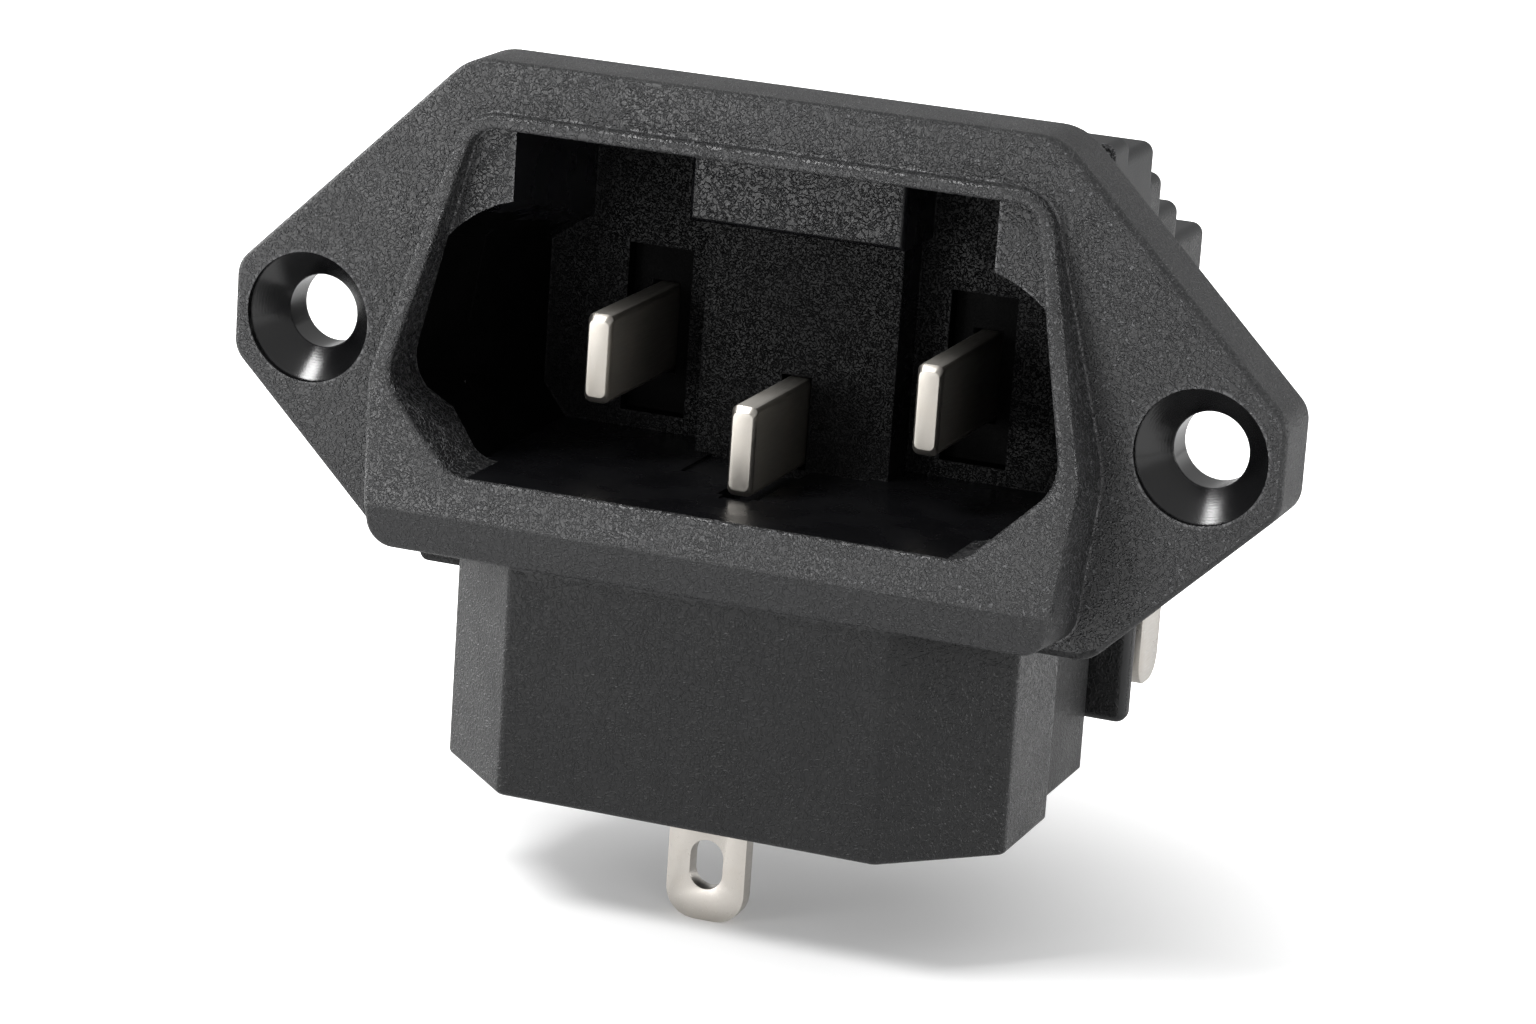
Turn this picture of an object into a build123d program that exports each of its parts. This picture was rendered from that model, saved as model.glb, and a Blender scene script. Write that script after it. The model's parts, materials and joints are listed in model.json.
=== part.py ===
from build123d import *
import os
from math import radians, tan

# Mains panel inlet with a screw flange and solder tags. Sizes in millimetres.
# X runs to the right along the screw line, Y runs into the panel, Z is up.
# The origin is midway between the screws, on the rear face of the flange, which seats on the panel.

# Contact blades
pole_spacing = 14.9
pole_height = -0.45
blade_thickness = 1.15
blade_width = 3.9
pole_blade_front = -0.85
earth_blade_front = -2.6
blade_edge_chamfer = 0.3
blade_slot_clearance = 0.1
shoulder_reach = 0.6
shoulder_thickness = 1.0
tail_width = 2.0
rivet_spread = 0.5
rivet_height = 0.35
rivet_edge = 0.2

# Socket mouth, a hexagon with a short foot
mouth_floor = -4.95
mouth_top = 9.4
mouth_shoulder_height = 3.55
mouth_flare = 2.6
mouth_foot_cut = 3.6
mouth_top_radius = 1.2
mouth_shoulder_radius = 2.0
mouth_floor_radius = 1.6
mouth_edge_radius = 0.2

# Socket behind the mouth: a channel between two webs, with a lobe on each side
socket_depth = 9.0
socket_wall = 2.4
channel_margin = 3.25
web_width = 1.7
lobe_side_height = 4.5
lobe_top = 6.35
lobe_bulge = 0.25
seat_inset = 2.35
seat_top = 4.25
seat_corner_width = 1.85
seat_corner_height = 1.3
seat_foot_width = 1.1
seat_foot_height = 1.4

# Key block and raised panel on the back wall of the socket
key_half = 4.9
key_height = 4.0
key_stands_out = 3.7
key_edge_radius = 0.35
panel_half = 4.45
panel_stands_out = 2.2
floor_panel_half = 3.7
floor_panel_start = 3.25
floor_panel_depth = 0.12
pocket_half = 1.5
pocket_reach = 3.75
pocket_depth = 0.8
earth_relief_half = 0.95
earth_relief_depth = 0.55

# Collar round the mouth, which leans forward towards its foot
lip_above = 0.65
lip_top_width = 0.5
lip_side_width = 1.0
collar_apron = 3.8
collar_foot_taper = 0.7
collar_top_rise = 0.5
collar_front_rise = 3.8
collar_bevel_height = 2.1
collar_bevel_set_back = 0.5
collar_draft = 4.0
collar_top_radius = 1.9
collar_shoulder_radius = 4.0
collar_foot_radius = 1.4
collar_edge_radius = 0.3

# Flange plate
screw_pitch = 40.0
flange_thickness = 3.2
flange_above_collar = 2.15
flange_below_collar = 0.6
flange_past_screw = 3.5
flange_end_height = 3.9
flange_side_slope = 44.5
flange_top_radius = 2.4
flange_end_radius = 1.3
flange_foot_radius = 1.6
flange_edge_radius = 0.35

# Screw holes, for M3 countersunk heads
screw_bore = 3.2
screw_head = 5.7
screw_head_recess = 0.35
screw_cone_angle = 90.0

# Register step behind the flange, which locates in the panel cut-out, and the walls behind it
register_depth = 2.05
register_step = 1.1
register_shoulder = 5.0
register_cut_height = 1.65
register_shows = 1.45
register_shoulder_radius = 0.6
register_foot_radius = 0.4
neck_wall = 2.2
roof_wall = 0.9
neck_relief_depth = 0.2
neck_relief_margin = 0.15
shell_wall = 1.85
shell_roof = 1.2
shell_floor = 0.65
shell_bevel = 1.6
shell_corner_radius = 0.5

# Rear body, stepped down towards the back
tier_step = 0.8
tier_a_rise = 0.8
tier_gap = 0.4
tier_a_length = 1.75
tier_b_drop = 0.7
tier_b_past_socket = 2.0
tier_c_drop = 1.6
tier_c_length = 1.6
tier_d_drop = 1.7
tier_d_length = 2.8
tier_e_drop = 1.7
tier_e_length = 4.35
tier_corner_radius = 0.5
under_floor = 4.25

# Terminal block below the collar
block_stands_out = 3.2
block_past_register = 1.2
block_height = 9.4
block_side_inset = 0.9
block_corner_cut = 4.25
block_corner_radius = 0.6
block_edge_radius = 0.25
cover_block_inset = 0.5
cover_block_depth = 6.75
cover_block_lift = 0.6

# Barrier fin on the rear cover
fin_gap = 0.8
fin_thickness = 1.2
fin_overhang = 0.9
fin_lift = 2.4
fin_edge_radius = 0.5

# Solder tags
tag_thickness = 0.8
tag_bend_radius = 0.5
tag_slot_width = 1.5
tag_slot_length = 2.2
tag_slot_edge = 1.4
tag_corner_radius = 1.1
tag_clearance = 0.1
tag_margin = 0.9
earth_tag_width = 3.55
earth_tag_lane = -3.0
earth_tag_cover = 1.2
earth_tag_shows = 4.9
pole_tag_drop = 7.1
pole_tag_reach = 4.58
pole_tag_width = 2.8
pole_tag_base_height = 3.6

# How far a cutting shape runs past the faces that it cuts
overcut = 1.0

# Planes across the depth, worked out from the sizes above
flange_front = -flange_thickness
socket_back = flange_front + socket_depth
housing_back = socket_back + socket_wall
tier_a_front = register_depth + tier_gap
tier_a_back = tier_a_front + tier_a_length
tier_b_back = socket_back + tier_b_past_socket
tier_c_back = tier_b_back + tier_c_length
tier_d_back = tier_c_back + tier_d_length
body_back = tier_d_back + tier_e_length
block_front = flange_front - block_stands_out
block_back = register_depth + block_past_register
cover_block_back = block_back + cover_block_depth
fin_front = cover_block_back + fin_gap

# Heights
mouth_shoulder = mouth_floor + mouth_shoulder_height
earth_height = mouth_floor + blade_width / 2
collar_top = mouth_top + lip_above
collar_foot = mouth_floor - collar_apron
collar_bevel_start = collar_foot + collar_bevel_height
flange_top = collar_top + flange_above_collar
flange_foot = collar_foot - flange_below_collar
register_foot = flange_foot - register_shows
neck_top = mouth_top + roof_wall
shell_top = seat_top + shell_roof
shell_foot = mouth_floor - shell_floor
tier_a_top = neck_top + tier_a_rise
tier_b_top = tier_a_top - tier_b_drop
tier_c_top = tier_b_top - tier_c_drop
tier_d_top = tier_c_top - tier_d_drop
tier_e_top = tier_d_top - tier_e_drop
body_foot = mouth_floor - under_floor
block_foot = body_foot - block_height
cover_block_foot = block_foot + cover_block_lift
fin_foot = block_foot + fin_lift
earth_tag_turn = body_foot + earth_tag_cover
earth_tag_foot = block_foot - earth_tag_shows
pole_tag_foot = body_foot - pole_tag_drop

# Half widths and distances from the middle
pole_x = pole_spacing / 2
channel_half = pole_x + channel_margin
mouth_top_half = channel_half + web_width
mouth_shoulder_half = mouth_top_half + mouth_flare
mouth_floor_half = mouth_shoulder_half - mouth_foot_cut
seat_half = mouth_shoulder_half - seat_inset
collar_top_half = mouth_top_half + lip_top_width
collar_shoulder_half = mouth_shoulder_half + lip_side_width
collar_foot_half = collar_shoulder_half - collar_foot_taper
screw_half_pitch = screw_pitch / 2
flange_half_length = screw_half_pitch + flange_past_screw
neck_half = channel_half + neck_wall
shell_half = seat_half + shell_wall
register_half = shell_half + register_step
tier_half = neck_half + tier_step
block_half = tier_half - block_side_inset
cover_block_half = block_half - cover_block_inset
fin_half = block_half + fin_overhang
pole_tag_lane = pole_x + pole_tag_reach


def prism(profile, front, back):
    """The profile, drawn in X and Z, as a straight prism between two depths."""
    return extrude(Plane.XZ.offset(-back) * profile, back - front)


def slab(half_width, bottom, top, front, back, centre=0.0):
    """A plain block, given by its half width, its heights and its depths."""
    size = (2 * half_width, back - front, top - bottom)
    return Pos(centre, (front + back) / 2, (bottom + top) / 2) * Box(*size)


def mirrored_outline(right_half, radii):
    """A closed profile from the points of its right half, top to bottom, with rounded corners."""
    left_half = [(-x, z) for x, z in reversed(right_half)]
    profile = make_face(Polyline(*right_half, *left_half, close=True))
    for (x, z), radius in zip(right_half, radii):
        if radius > 0:
            corners = [v for v in profile.vertices() if abs(abs(v.X) - x) + abs(v.Y - z) < 1e-4]
            profile = fillet(corners, radius)
    return profile


def screw_hole():
    """The countersunk hole, turned about its own axis."""
    cone_depth = (screw_head - screw_bore) / 2 / tan(radians(screw_cone_angle / 2))
    cone_start = flange_front + screw_head_recess
    profile = Polyline(
        (0, flange_front - overcut),
        (screw_head / 2, flange_front - overcut),
        (screw_head / 2, cone_start),
        (screw_bore / 2, cone_start + cone_depth),
        (screw_bore / 2, overcut),
        (0, overcut),
        close=True,
    )
    return revolve(make_face(profile), Axis.Y)


def flange_plate():
    """The long hexagonal plate, with its front edge rounded and its screw holes cut."""
    end = flange_end_height / 2
    run = 1 / tan(radians(flange_side_slope))
    outline = mirrored_outline(
        [
            (flange_half_length - (flange_top - end) * run, flange_top),
            (flange_half_length, end),
            (flange_half_length, -end),
            (flange_half_length - (-flange_foot - end) * run, flange_foot),
        ],
        [flange_top_radius, flange_end_radius, flange_end_radius, flange_foot_radius],
    )
    plate = prism(outline, flange_front, 0)
    plate = fillet(plate.faces().sort_by(Axis.Y)[0].edges(), flange_edge_radius)
    for side in (-1, 1):
        plate -= Pos(side * screw_half_pitch, 0, 0) * screw_hole()
    return plate


def mouth_outline():
    """The edge of the socket mouth."""
    return mirrored_outline(
        [
            (mouth_top_half, mouth_top),
            (mouth_shoulder_half, mouth_shoulder),
            (mouth_floor_half, mouth_floor),
        ],
        [mouth_top_radius, mouth_shoulder_radius, mouth_floor_radius],
    )


def collar():
    """The raised frame round the mouth: drafted sides, a leaning front and a bevel at its foot."""
    outline = mirrored_outline(
        [
            (collar_top_half, collar_top),
            (collar_shoulder_half, mouth_shoulder),
            (collar_foot_half, collar_foot),
        ],
        [collar_top_radius, collar_shoulder_radius, collar_foot_radius],
    )
    reach = collar_front_rise + overcut
    blank = extrude(Plane.XZ.offset(-flange_front) * outline, reach, taper=collar_draft)
    lean = (collar_front_rise - collar_top_rise) / (collar_top - collar_bevel_start)
    front_at_bevel = flange_front - collar_front_rise
    above = collar_top + overcut
    side_view = Polyline(
        (flange_front, above),
        (front_at_bevel + lean * (above - collar_bevel_start), above),
        (front_at_bevel, collar_bevel_start),
        (front_at_bevel + collar_bevel_set_back, collar_foot),
        (flange_front, collar_foot),
        close=True,
    )
    frame = blank & extrude(Plane.YZ * make_face(side_view), collar_shoulder_half, both=True)
    faces_ahead = frame.faces().filter_by(lambda face: face.normal_at().Y < -0.9)
    rim = {edge for face in faces_ahead for edge in face.edges()}
    frame = fillet(list(rim), collar_edge_radius)
    frame -= prism(mouth_outline(), flange_front - reach, flange_front)
    front = frame.faces().filter_by(lambda face: face.normal_at().Y < -0.9).sort_by(SortBy.AREA)[-1]
    return fillet(front.inner_wires()[0].edges(), mouth_edge_radius)


def lobe_arc():
    """The rounded shoulder of a lobe, from the slanted side of the mouth up to the channel."""
    share = (mouth_top - lobe_side_height) / (mouth_top - mouth_shoulder)
    side = Vector(mouth_top_half + share * mouth_flare, lobe_side_height)
    top = Vector(channel_half, lobe_top)
    outward = Vector(lobe_top - lobe_side_height, side.X - channel_half).normalized()
    return ThreePointArc(side, (side + top) / 2 + outward * lobe_bulge, top)


def socket_lobe():
    """The wide right-hand part of the socket: a round lobe in front, a six-sided seat at the back."""
    arc = lobe_arc()
    lower = Polyline(
        arc @ 1,
        (pole_x, lobe_top),
        (pole_x, mouth_floor),
        (mouth_floor_half, mouth_floor),
        (mouth_shoulder_half, mouth_shoulder),
        arc @ 0,
    )
    front = make_face(lower.edges() + [arc])
    back = make_face(
        Polyline(
            (seat_half - seat_corner_width, seat_top),
            (pole_x, seat_top),
            (pole_x, mouth_floor),
            (seat_half - seat_foot_width, mouth_floor),
            (seat_half, mouth_floor + seat_foot_height),
            (seat_half, seat_top - seat_corner_height),
            close=True,
        )
    )
    sections = [Plane.XZ.offset(-flange_front) * front, Plane.XZ.offset(-socket_back) * back]
    return loft(sections, ruled=True)


def socket_space():
    """All the air in the socket behind the collar, with the key block and the panel standing in it."""
    lobe = socket_lobe()
    space = slab(channel_half, mouth_floor, mouth_top, flange_front, socket_back)
    space = space + lobe + mirror(lobe, Plane.YZ)
    space -= slab(panel_half, mouth_floor, mouth_top, socket_back - panel_stands_out, socket_back)
    key_foot = mouth_top - key_height
    key_front = socket_back - key_stands_out
    key = slab(key_half, key_foot, mouth_top + overcut, key_front, socket_back)
    key_rim = key.edges().group_by(Axis.Y)[0].filter_by(lambda edge: edge.center().Z < mouth_top)
    space -= fillet(key_rim, key_edge_radius)
    relief_foot = mouth_floor - earth_relief_depth
    panel_front = socket_back - panel_stands_out
    space += slab(earth_relief_half, relief_foot, mouth_floor, earth_blade_front, panel_front)
    sunk = slab(
        floor_panel_half,
        mouth_floor - floor_panel_depth,
        mouth_floor,
        flange_front + floor_panel_start,
        panel_front,
    )
    space += sunk
    for side in (-1, 1):
        space += slab(
            pocket_half,
            pole_height - pocket_reach,
            pole_height + pocket_reach,
            socket_back,
            socket_back + pocket_depth,
            side * pole_x,
        )
    return space


def blade_slot(centre_x, centre_z, front, back):
    """A slot that lets one blade through, between two depths."""
    half = blade_thickness / 2 + blade_slot_clearance
    reach = blade_width / 2 + blade_slot_clearance
    return slab(half, centre_z - reach, centre_z + reach, front, back, centre_x)


def tier(top, front, back):
    """One step of the rear body, with rounded upper corners."""
    outline = mirrored_outline([(tier_half, top), (tier_half, body_foot)], [tier_corner_radius, 0])
    return prism(outline, front, back)


def register_and_neck():
    """The step that locates in the panel cut-out, with the narrow neck above it."""
    register = mirrored_outline(
        [
            (neck_half, register_shoulder + register_cut_height),
            (register_half, register_shoulder),
            (register_half, register_foot),
        ],
        [0, register_shoulder_radius, register_foot_radius],
    )
    step = prism(register, 0, register_depth)
    neck = mirrored_outline([(neck_half, neck_top), (neck_half, body_foot)], [tier_corner_radius, 0])
    return step + prism(neck, flange_front / 2, tier_a_back)


def shell():
    """The wall round the wide part of the socket, behind the register step."""
    outline = mirrored_outline(
        [
            (shell_half - shell_bevel, shell_top),
            (shell_half, shell_top - shell_bevel),
            (shell_half, shell_foot + shell_bevel),
            (shell_half - shell_bevel, shell_foot),
        ],
        [0, shell_corner_radius, shell_corner_radius, 0],
    )
    return prism(outline, register_depth / 2, housing_back)


def terminal_block():
    """The block below the collar, with cut front corners."""
    plan = Polyline(
        (block_half, block_back),
        (block_half, block_front + block_corner_cut),
        (block_half - block_corner_cut, block_front),
        (block_corner_cut - block_half, block_front),
        (-block_half, block_front + block_corner_cut),
        (-block_half, block_back),
        close=True,
    )
    block = extrude(Plane.XY.offset(block_foot) * make_face(plan), collar_bevel_start - block_foot)
    corners = block.edges().filter_by(Axis.Z).group_by(Axis.Y)[:-1]
    block = fillet([edge for group in corners for edge in group], block_corner_radius)
    rim = block.faces().sort_by(Axis.Z)[0].edges()
    free_rim = rim.filter_by(lambda edge: edge.center().Y < block_back - block_corner_radius)
    return fillet(free_rim, block_edge_radius)


def earth_channel():
    """The channel in the terminal block for the earth tag, open at the back and below."""
    half = earth_tag_width / 2 + tag_clearance
    lane = earth_tag_lane - tag_thickness / 2 - tag_clearance
    top = earth_tag_turn + tag_thickness / 2 + tag_clearance
    bend = tag_bend_radius + tag_clearance
    side_view = Polyline(
        (lane, block_foot - overcut),
        (lane, top),
        (housing_back - bend, top),
        (housing_back, top + bend),
        (housing_back + overcut, top + bend),
        (housing_back + overcut, block_foot - overcut),
        close=True,
    )
    return extrude(Plane.YZ * make_face(side_view), half, both=True)


def neck_relief():
    """The shallow relief in the back of the flange round the neck, clear of the step behind it."""
    half = tier_half + neck_relief_margin
    top = tier_a_top + neck_relief_margin
    return slab(half, body_foot, top, -neck_relief_depth, overcut)


def housing():
    """The front moulding: flange, collar, socket, register step and terminal block."""
    body = flange_plate() - neck_relief()
    body += terminal_block() + register_and_neck() + shell()
    body += tier(tier_a_top, tier_a_front, tier_a_back)
    body += tier(tier_b_top, tier_a_back, tier_b_back)
    body += tier(tier_c_top, tier_b_back, housing_back)
    body += collar()
    body -= socket_space()
    for side in (-1, 1):
        body -= blade_slot(side * pole_x, pole_height, socket_back, housing_back + overcut)
    body -= blade_slot(0, earth_height, flange_front, housing_back + overcut)
    return body - earth_channel()


def cover_tongue():
    """The tongue of the cover that closes the channel behind the earth tag."""
    half = earth_tag_width / 2 - tag_clearance
    front = earth_tag_lane + tag_thickness / 2 + tag_clearance
    top = earth_tag_turn - tag_thickness / 2 - tag_clearance
    bend = tag_bend_radius + tag_clearance
    side_view = Polyline(
        (front, block_foot),
        (front, top - bend),
        (front + bend, top),
        (cover_block_back, top),
        (cover_block_back, body_foot),
        (block_back, body_foot),
        (block_back, block_foot),
        close=True,
    )
    return extrude(Plane.YZ * make_face(side_view), half, both=True)


def earth_pocket():
    """Room in the cover for the upper part of the earth tag and the riveted tail."""
    half = earth_tag_width / 2 + tag_clearance
    depth = tag_thickness + rivet_height + 2 * tag_clearance
    top = earth_height + blade_width / 2 + tag_margin
    foot = earth_tag_turn - tag_thickness / 2 - tag_clearance
    return slab(half, foot, top, housing_back, housing_back + depth)


def barrier_fin():
    """The flat fin between the earth tag and the tags of the poles."""
    outline = mirrored_outline([(fin_half, body_foot), (fin_half, fin_foot)], [0, fin_edge_radius])
    fin = prism(outline, fin_front, fin_front + fin_thickness)
    uprights = fin.edges().filter_by(Axis.Z)
    return fillet(uprights, fin_edge_radius)


def rear_cover():
    """The rear moulding: stepped body, lower block, tongue and barrier fin."""
    body = tier(tier_c_top, housing_back, tier_c_back)
    body += tier(tier_d_top, tier_c_back, tier_d_back)
    body += tier(tier_e_top, tier_d_back, body_back)
    lower = slab(cover_block_half, cover_block_foot, body_foot, block_back, cover_block_back)
    lower_rim = lower.edges().filter_by(Axis.Z).group_by(Axis.Y)[-1]
    body += fillet(lower_rim, block_corner_radius)
    body += barrier_fin() + cover_tongue()
    for side in (-1, 1):
        body -= blade_slot(side * pole_x, pole_height, housing_back - overcut, body_back + overcut)
        body -= blade_shoulder(side, blade_slot_clearance)
    return body - earth_pocket()


def blade(front, seat, behind):
    """A contact blade: bevelled nose, body up to its seat, and a riveted tail behind the tag."""
    body = slab(blade_thickness / 2, -blade_width / 2, blade_width / 2, front, seat)
    nose = body.edges().group_by(Axis.Y)[0]
    body = chamfer(nose, blade_edge_chamfer)
    body += slab(blade_thickness / 2, -tail_width / 2, tail_width / 2, seat, behind)
    head_half = blade_thickness / 2 + rivet_spread
    head_reach = tail_width / 2 + rivet_spread
    head = slab(head_half, -head_reach, head_reach, behind, behind + rivet_height)
    head = chamfer(head.edges().group_by(Axis.Y)[-1], rivet_edge)
    return body + head


def blade_shoulder(side, clearance):
    """The shoulder of a pole blade, or with a clearance its seat in the cover."""
    reach = blade_width / 2 + shoulder_reach + clearance
    return slab(
        blade_thickness / 2 + clearance,
        pole_height - reach,
        pole_height + reach,
        housing_back,
        housing_back + shoulder_thickness,
        side * pole_x,
    )


def pole_blade(side):
    """A blade of one of the two poles, staked to its tag on the back of the cover."""
    strip = blade(pole_blade_front, body_back, body_back + tag_thickness)
    return Pos(side * pole_x, 0, pole_height) * strip + blade_shoulder(side, 0)


def earth_blade():
    """The earth blade, staked to its tag behind the wall of the socket."""
    return Pos(0, 0, earth_height) * blade(
        earth_blade_front, housing_back, housing_back + tag_thickness
    )


def tail_hole(centre_x, centre_z, front):
    """The hole in a tag for the tail of its blade."""
    return slab(
        blade_thickness / 2,
        centre_z - tail_width / 2,
        centre_z + tail_width / 2,
        front - overcut,
        front + tag_thickness + overcut,
        centre_x,
    )


def solder_slot(foot):
    """The upright slot for the wire, placed above the foot of a tag."""
    length = tag_slot_length
    lift = foot + tag_slot_edge + length / 2
    return Pos(0, lift) * SlotOverall(length, tag_slot_width, rotation=90)


def earth_tag():
    """The earth tag: down behind the socket, forward under it, then down through the block."""
    behind = housing_back + tag_thickness / 2
    top = earth_height + blade_width / 2 + tag_margin - tag_clearance
    path = FilletPolyline(
        (behind, top),
        (behind, earth_tag_turn),
        (earth_tag_lane, earth_tag_turn),
        (earth_tag_lane, earth_tag_foot),
        radius=tag_bend_radius + tag_thickness / 2,
    )
    strip = extrude(Plane.YZ * trace(path, tag_thickness), earth_tag_width / 2, both=True)
    across = strip.edges().filter_by(Axis.Y)
    ends = across.group_by(Axis.Z)[0] + across.group_by(Axis.Z)[-1]
    strip = fillet(ends, tag_corner_radius)
    half = tag_thickness / 2 + overcut
    strip -= prism(solder_slot(earth_tag_foot), earth_tag_lane - half, earth_tag_lane + half)
    return strip - tail_hole(0, earth_height, housing_back)


def pole_tag(side):
    """The tag of one pole: flat on the cover at its blade, then turned back and down."""
    base_inner = pole_x - blade_thickness / 2 - tag_margin
    corner = body_back + tag_thickness / 2
    path = FilletPolyline(
        (base_inner, corner),
        (pole_tag_lane, corner),
        (pole_tag_lane, corner + pole_tag_width),
        radius=tag_bend_radius + tag_thickness / 2,
    )
    base_foot = pole_height - pole_tag_base_height / 2
    base = extrude(Plane.XY.offset(base_foot) * trace(path, tag_thickness), pole_tag_base_height)
    leg_back = corner + pole_tag_width
    leg = slab(tag_thickness / 2, pole_tag_foot, base_foot, corner, leg_back, pole_tag_lane)
    leg = fillet(leg.edges().filter_by(Axis.X).group_by(Axis.Z)[0], tag_corner_radius)
    slot = Pos((corner + leg_back) / 2, 0) * solder_slot(pole_tag_foot)
    leg -= extrude(Plane.YZ.offset(pole_tag_lane) * slot, tag_thickness, both=True)
    tag = base + leg - tail_hole(pole_x, pole_height, body_back)
    return tag if side > 0 else mirror(tag, Plane.YZ)


sub_parts = {
    "housing": housing(),
    "rear_cover": rear_cover(),
    "left_pole_blade": pole_blade(-1),
    "right_pole_blade": pole_blade(1),
    "earth_blade": earth_blade(),
    "left_pole_tag": pole_tag(-1),
    "right_pole_tag": pole_tag(1),
    "earth_tag": earth_tag(),
}

os.makedirs("parts", exist_ok=True)
for name, solid in sub_parts.items():
    export_step(solid, f"parts/{name}.step")
    print(name, round(solid.volume, 2))
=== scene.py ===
import json
import logging
import math
from dataclasses import dataclass
from enum import Enum
from typing import Callable, Iterable

import bpy
from mathutils import Matrix, Vector

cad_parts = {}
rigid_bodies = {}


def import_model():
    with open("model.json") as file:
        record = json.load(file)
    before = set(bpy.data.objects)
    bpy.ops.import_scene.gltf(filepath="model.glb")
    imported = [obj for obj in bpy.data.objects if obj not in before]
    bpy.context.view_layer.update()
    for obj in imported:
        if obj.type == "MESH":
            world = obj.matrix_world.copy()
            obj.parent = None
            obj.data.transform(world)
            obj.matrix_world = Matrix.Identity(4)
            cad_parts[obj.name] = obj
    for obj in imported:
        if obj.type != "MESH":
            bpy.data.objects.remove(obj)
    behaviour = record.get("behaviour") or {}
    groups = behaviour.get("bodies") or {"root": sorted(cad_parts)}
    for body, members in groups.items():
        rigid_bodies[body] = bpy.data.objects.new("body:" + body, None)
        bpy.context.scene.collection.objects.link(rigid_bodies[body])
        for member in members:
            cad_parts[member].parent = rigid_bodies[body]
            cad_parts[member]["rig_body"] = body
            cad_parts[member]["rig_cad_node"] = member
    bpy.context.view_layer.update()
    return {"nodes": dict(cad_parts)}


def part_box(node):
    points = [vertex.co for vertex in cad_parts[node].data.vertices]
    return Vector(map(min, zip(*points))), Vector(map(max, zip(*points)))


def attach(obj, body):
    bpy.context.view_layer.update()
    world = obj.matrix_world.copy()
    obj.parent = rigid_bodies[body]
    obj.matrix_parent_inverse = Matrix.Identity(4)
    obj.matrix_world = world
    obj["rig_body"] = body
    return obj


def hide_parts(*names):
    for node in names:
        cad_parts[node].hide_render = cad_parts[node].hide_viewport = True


# The looks of a panel power inlet: two black mouldings, three contact blades and three solder tags.
# X runs along the screw line, Y into the panel, Z up. Sizes are in millimetres, and in metres in Blender.

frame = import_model()

MM = 0.001
ROOT = "root"
PHOTO_WIDTH = 1536
SCREW_FROM_MIDDLE = 20.0
log = logging.getLogger("power_inlet")

# How much of a direction lies along an axis when a face looks along it, or leans towards it.
ALONG = 0.9
LEANING = 0.5

# The Mix node has sockets for every kind of data. These are the ones for colours.
MIX_FIRST, MIX_SECOND, MIX_RESULT = 6, 7, 2

# Scales of the shared effects, in features per metre.
TONE_PATCHES = 420.0
WORN_BREAKS = 900.0
DUST_SPECKS = 1500.0
DUST_CLUMPS = 1100.0
DUST_HAZE = 160.0
BRUSHED_LINES = (14000.0, 900.0, 14000.0)
METAL_MOTTLE = 500.0

# Meshes, in millimetres and degrees. NEAR, TOUCH and SLACK are how far a place may be off when it is tested.
SAME_PLACE = 0.0001
NEAR = 0.01
TOUCH = 0.02
SLACK = 0.05
FLAT_ANGLE = 0.5
SHARP_ANGLE = 35.0
SMOOTH_ANGLE = 32.0
SOFT_STEPS = 2

# The slot cutter, and how much of a half circle its round ends take, so that their edges don't meet.
CUTTER_DEPTH = 3.0
CUTTER_ROUND = 0.999
CUTTER_STEPS = 10

# Rays of a Bevel node.
BEVEL_RAYS = 4


class Zone(Enum):
    """The surface zones of the mouldings, each with a material of its own. GRAINED is a lighter copy of the
    black plastic with painted light; SOCKET, DEEP and PIT are darker copies with painted shade inside the
    socket.
    """

    GRAINED = "grained"
    RIM = "rim"
    SATIN = "satin"
    SOCKET = "socket"
    DEEP = "deep"
    PIT = "pit"
    BLOCK = "block"
    TURNED = "turned"


class Side(Enum):
    """The two sides of the inlet, as seen from the front."""

    LEFT = -1
    RIGHT = 1


class BladeFace(Enum):
    """The faces of a blade, with their places in its list of materials. The top takes a lighter copy of the
    nickel, as painted light.
    """

    NOSE = 0
    SIDE = 1
    TOP = 2


# ---------------------------------------------------------------- node trees


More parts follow.
